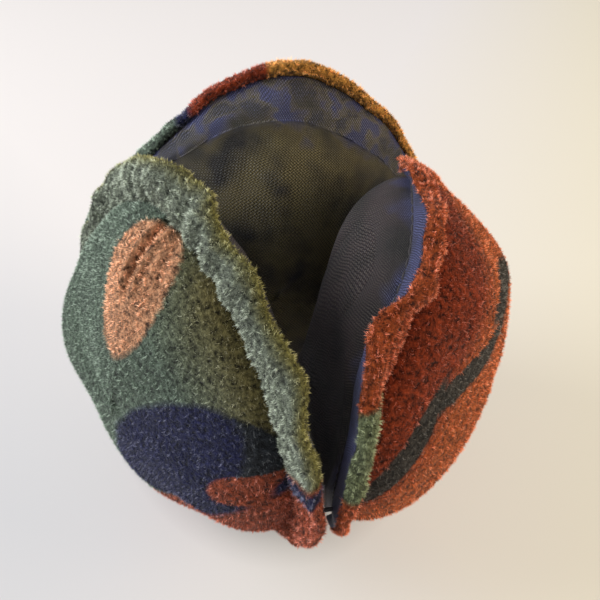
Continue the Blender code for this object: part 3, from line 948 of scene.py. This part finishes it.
def fleece_finish(name, pile):
    """Fleece: the printed colours with blurred borders, mottled by tufts about a millimetre wide, with
    painted shade in the gaps between tufts and at fibre roots, and pale fibre tips that are partly painted
    highlight.
    """
    title = f"pile_{name}" if pile else f"fleece_{name}"
    finish = Finish(title, Roughness=0.95, Sheen_Weight=0.12, Sheen_Roughness=0.5)
    finish.shader.inputs["Specular IOR Level"].default_value = 0.15
    place = finish.place()
    x, y, _ = finish.parts(finish.map("grain"))
    reach, around, _ = finish.parts(finish.map("round"))
    blur = finish.noise(place, 0.0016, 3.0, 0.7) - 0.5
    drift = finish.noise(place, 0.006, 1.0) - 0.5
    x, y = x + blur * 2.0 + drift * 0.7, y - blur * 1.8 + drift * 0.6
    if name == "back":
        colour = back_print(finish, x, y, around * 360)
    else:
        colour = {"left": left_print, "right": right_print}[name](finish, x, y, reach)
    worn = finish.noise(place, 0.0075, 2.0) * 0.5 + 0.75
    if pile:
        tip, fibre = finish.attribute("tip"), finish.attribute("fibre")
        # Painted shade: each fibre darker towards its root and in low tufts, lighter at its tip; the worn
        # noise is the fleece's own uneven tone.
        brightness = (tip * 1.1 + 0.35) * (fibre * 1.9 + 0.1) * worn
        # Pale tips on the brightest fibres: partly the fleece's own paler tips, partly painted highlight.
        pale_tips_and_highlight = finish.mix(tip * fibre.share(0.55, 1.0) * 0.3, colour, tip_grey)
        finish.feed(Base_Color=finish.shaded(pale_tips_and_highlight, brightness))
    else:
        # Painted shade: the fleece under the pile is darkened between its tufts, as gaps in shade.
        tufts = finish.noise(place, 0.0011, 3.0, 0.75)
        brightness = (tufts.share(0.35, 0.75) + 0.06) * worn
        finish.feed(Base_Color=finish.shaded(colour, brightness), Normal=finish.bump(tufts, 0.0009, 0.9))
    return finish


fleece_rings = {}
for name in swings:
    mesh, *fleece_rings[name] = fleece_panel(name)
    finish = fleece_finish(name, False)
    panel = add_piece(mesh.name, mesh, finish, name, [f"fleece_panel_{name}"])


# Fleece pile
# The fleece is brushed to a short dense nap. Its fibres lean together into tufts, with darker gaps
# between them, partly painted shade at the fibres' roots and in low tufts, and stand out as a fuzzy
# edge against the light.
face_fibres, lip_fibres = 48000, 46000
fibre_length, fibre_width = 0.00064, 0.000072
shortest_fibre, longest_fibre = 0.0003, 0.002
fibre_lean, tuft_share, stray_share = 0.75, 0.8, 0.55
tuft_size, tuft_waves, tuft_height = 0.0013, 24, 3.4
pile_overlap = 0.0005
root_depth = 0.00015


def tuft_slope(points, seed):
    """A smooth random field, a sum of waves of about the tuft's size: its slope, then its height."""
    random = np.random.default_rng(seed)
    ways = random.normal(size=(tuft_waves, 3))
    lengths = np.linalg.norm(ways, axis=1, keepdims=True)
    ways *= (2 * math.pi / tuft_size) * random.uniform(0.6, 1.5, (tuft_waves, 1)) / lengths
    phases = points @ ways.T + random.random(tuft_waves) * 2 * math.pi
    return -np.sin(phases) @ unit(ways) / tuft_height, np.cos(phases).sum(1) / tuft_height


def scattered(rings, random, count):
    """Places spread evenly over the quads between rings: a quad by its area, then a random place in it."""
    diagonals = np.cross(rings[1:] - np.roll(rings[:-1], -1, 1), np.roll(rings[1:], -1, 1) - rings[:-1])
    area = np.linalg.norm(diagonals, axis=2).ravel()
    picked = np.searchsorted(np.cumsum(area) / area.sum(), random.random(count))
    row, column = np.divmod(np.minimum(picked, area.size - 1), rings.shape[1])
    p, q = random.random((2, count))
    return row, column, p, q


def fibre_mesh(title, corners):
    """Closed three-sided spikes from their four corners, three at the root and the tip."""
    count = len(corners)
    first = 4 * np.arange(count)[:, None]
    sides = [first + side for side in ([0, 1, 3], [1, 2, 3], [2, 0, 3], [0, 2, 1])]
    mesh = bpy.data.meshes.new(title)
    mesh.vertices.add(4 * count)
    mesh.vertices.foreach_set("co", corners.astype(np.float32).ravel())
    mesh.loops.add(12 * count)
    mesh.loops.foreach_set("vertex_index", np.stack(sides, axis=1).astype(np.int32).ravel())
    mesh.polygons.add(4 * count)
    mesh.polygons.foreach_set("loop_start", np.arange(0, 12 * count, 3, dtype=np.int32))
    mesh.update(calc_edges=True)
    mesh.shade_smooth()
    return mesh


def pile_skin(title, name, rows, count, seed):
    """Fibres rooted evenly over some rings of the panel.

    Each leaves along the cloth's normal, leant by the tufts' slope and at random, as a spike round
    its own direction that ends in a point.
    """
    outer, reaches = fleece_rings[name]
    rings, reach = outer[rows], reaches[rows]
    steps = rings.shape[1]
    random = np.random.default_rng(seed)
    row, column, p, q = scattered(rings, random, count)
    after = (column + 1) % steps
    weights = ((1 - p) * (1 - q), (1 - p) * q, p * q, p * (1 - q))
    corners = ((row, column), (row, after), (row + 1, after), (row + 1, column))
    normals = outward_normals(rings)
    root = sum(w[:, None] * rings[corner] for w, corner in zip(weights, corners))
    normal = unit(sum(w[:, None] * normals[corner] for w, corner in zip(weights, corners)))
    slope, tuft = tuft_slope(root, seed)
    lean = fibre_lean * (tuft_share * slope + stray_share * random.normal(size=(count, 3)))
    way = unit(normal + lean - normal * np.einsum("ij,ij->i", lean, normal)[:, None])
    side = unit(np.cross(way, random.normal(size=(count, 3))))
    other = np.cross(way, side)
    length = fibre_length * (0.55 + 0.65 * random.random(count)) * (1 + 0.25 * tuft)
    tip = root + way * np.clip(length, shortest_fibre, longest_fibre)[:, None]
    sunk = root - normal * root_depth
    thirds = [2 * math.pi / 3 * k for k in range(3)]
    feet = [sunk + fibre_width * (math.cos(a) * side + math.sin(a) * other) for a in thirds]
    points = rested(np.stack([*feet, tip], axis=1))
    limit = neighbour_limit(points[..., 0], points[..., 2])
    points[..., 1] = np.maximum(points[..., 1], limit - pile_overlap)
    mesh = fibre_mesh(title, in_row_frame(name, points))
    turn = (column + q) / steps
    reach_here = reach[row] * (1 - p) + reach[row + 1] * p
    flat = 1000 * reach_here[:, None] * np.stack(outline(seam_inset, turn * 2 * math.pi), axis=1)
    add_map(mesh, "grain", np.repeat(flat, 4, axis=0))
    add_map(mesh, "round", np.repeat(np.stack([reach_here, turn], axis=1), 4, axis=0))
    star = np.array([[0.3, 0], [-0.2, 0.3], [-0.2, -0.3], [0, 0.8]])
    add_map(mesh, "OFBake", ((flat[:, None] + star) / bake_tile_mm + bake_face).reshape(-1, 2))
    # Each fibre's brightness: lower in low tufts, as painted shade, and varied at random.
    shade = np.clip(0.43 + 0.35 * tuft + 0.2 * random.normal(size=count), 0, 1.3)
    for kind, values in (("tip", np.tile([0, 0, 0, 1.0], count)), ("fibre", np.repeat(shade, 4))):
        mesh.attributes.new(kind, "FLOAT", "POINT").data.foreach_set("value", values.astype(np.float32))
    return mesh


bands = (
    ("face", slice(0, fleece_face_rings - 1), face_fibres),
    ("lip", slice(fleece_face_rings + 2, None), lip_fibres),
)
for name in swings:
    finish = fleece_finish(name, True)
    for number, (band, rows, count) in enumerate(bands):
        mesh = pile_skin(f"pile_{band}_{name}", name, rows, count, seeds[name] + 50 + number)
        add_piece(mesh.name, mesh, finish, name)


# Seam threads
# Topstitching of dark polyester thread: the needle thread lies in the crease on the fleece side and
# the bobbin thread on the lining side, each dipping into the cloth once a stitch.
stitch_count, steps_per_stitch = 110, 8
thread_radius, thread_dip = 0.00028, 0.0005
thread_sides = 8
thread_dark = dye(44, 38, 40)
# The heights at which the threads run, and how far they dip.
thread_runs = {
    "needle_thread": (seam_height + thread_radius, -thread_dip),
    "bobbin_thread": (-0.4 * thread_radius, thread_dip),
}


def tube(line, radius, closed):
    """A round tube along a line: a circle in the plane of the line's two cross directions."""
    way = unit((np.roll(line, -1, 0) - np.roll(line, 1, 0)) if closed else np.gradient(line, axis=0))
    side = unit(np.cross(way, [0.0, 0.0, 1.0] if abs(way[:, 2]).max() < 0.9 else [0.0, 1.0, 0.0]))
    other = np.cross(way, side)
    angles = turns_of(thread_sides)[None, :, None]
    ring = np.cos(angles) * side[:, None] + np.sin(angles) * other[:, None]
    points = line[:, None] + radius * ring
    total = len(line) * thread_sides
    faces = (ring_quads(len(line) + closed, thread_sides) % total).tolist()
    if not closed:
        faces += [list(range(thread_sides))[::-1], list(range(total - thread_sides, total))]
    return points.reshape(-1, 3), faces


def thread_line(name, height, dip):
    """The seam's outline at a height, which dips once a stitch by a power of a cosine."""
    turns = turns_of(stitch_count * steps_per_stitch)
    along, up = outline(flange_width + seam_drift(name, turns), turns)
    sheet = middle_sheet(name, along, up)
    dips = ((1 + np.cos(turns * stitch_count)) / 2) ** 3
    return rested(np.stack([along, sheet + height + dip * dips, up], axis=1))


finish = Finish("polyester_thread", Roughness=0.55, Sheen_Weight=0.2)
twist = finish.noise(finish.place(), 0.0004, 2.0)
finish.feed(Base_Color=finish.shaded(thread_dark, twist * 0.8 + 0.6), Normal=finish.bump(twist, 0.0001))
for name in swings:
    for kind, (height, dip) in thread_runs.items():
        line = in_row_frame(name, thread_line(name, height, dip))
        mesh = smooth_mesh(f"{kind}_stitches_{name}", *tube(line, thread_radius, True))
        add_piece(mesh.name, mesh, finish, name, [f"{kind}_{name}"])


# Join stitches
# A few passes of doubled thread through both flange tips at each of the three joins, drawn tight
# and finished with a small knot sunk in the fleece on each side.
knot_turns, knot_radius, knot_height, knot_thread = 3, 0.0011, 0.0007, 0.00026
strand_radius, strand_ring, strand_count, strand_twist = 0.00018, 0.00026, 5, 900
half_length, strand_end = 0.0034, 0.0002


def coil(along, radius, angle):
    return np.stack([along, radius * np.cos(angle), radius * np.sin(angle)], axis=1)


# Along X: the strands, twisted together, then a coil that narrows outwards for each knot.
place = np.linspace(-half_length + strand_end, half_length - strand_end, 40)
starts = [2 * math.pi * strand / strand_count for strand in range(strand_count)]
angle = np.linspace(0, 2 * math.pi * knot_turns, 72)
out = half_length - knot_height * (1 - angle / angle[-1])
narrowing = knot_radius * (0.72 - 0.2 * angle / angle[-1])
lines = [(coil(place, strand_ring, start + place * strand_twist), strand_radius) for start in starts]
lines += [(coil(side * out, narrowing, angle), knot_thread) for side in (-1, 1)]

for join in ("front", "left", "right"):
    low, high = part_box(f"join_stitch_{join}")
    middle = (low + high) / 2
    outward = Vector((middle.x - ball_middle.x, middle.y - ball_middle.y, 0)).normalized()
    through = Vector((0, 0, 1)).cross(outward)
    axes = np.array([through, outward, (0.0, 0.0, 1.0)])
    points, faces = np.empty((0, 3)), []
    for line, radius in lines:
        more, its_faces = tube(line @ axes + np.array(middle), radius, False)
        faces += [[corner + len(points) for corner in face] for face in its_faces]
        points = np.concatenate([points, more])
    mesh = smooth_mesh(f"join_knots_{join}", points, faces)
    add_piece(mesh.name, mesh, finish, "join_stitches", [f"join_stitch_{join}"])
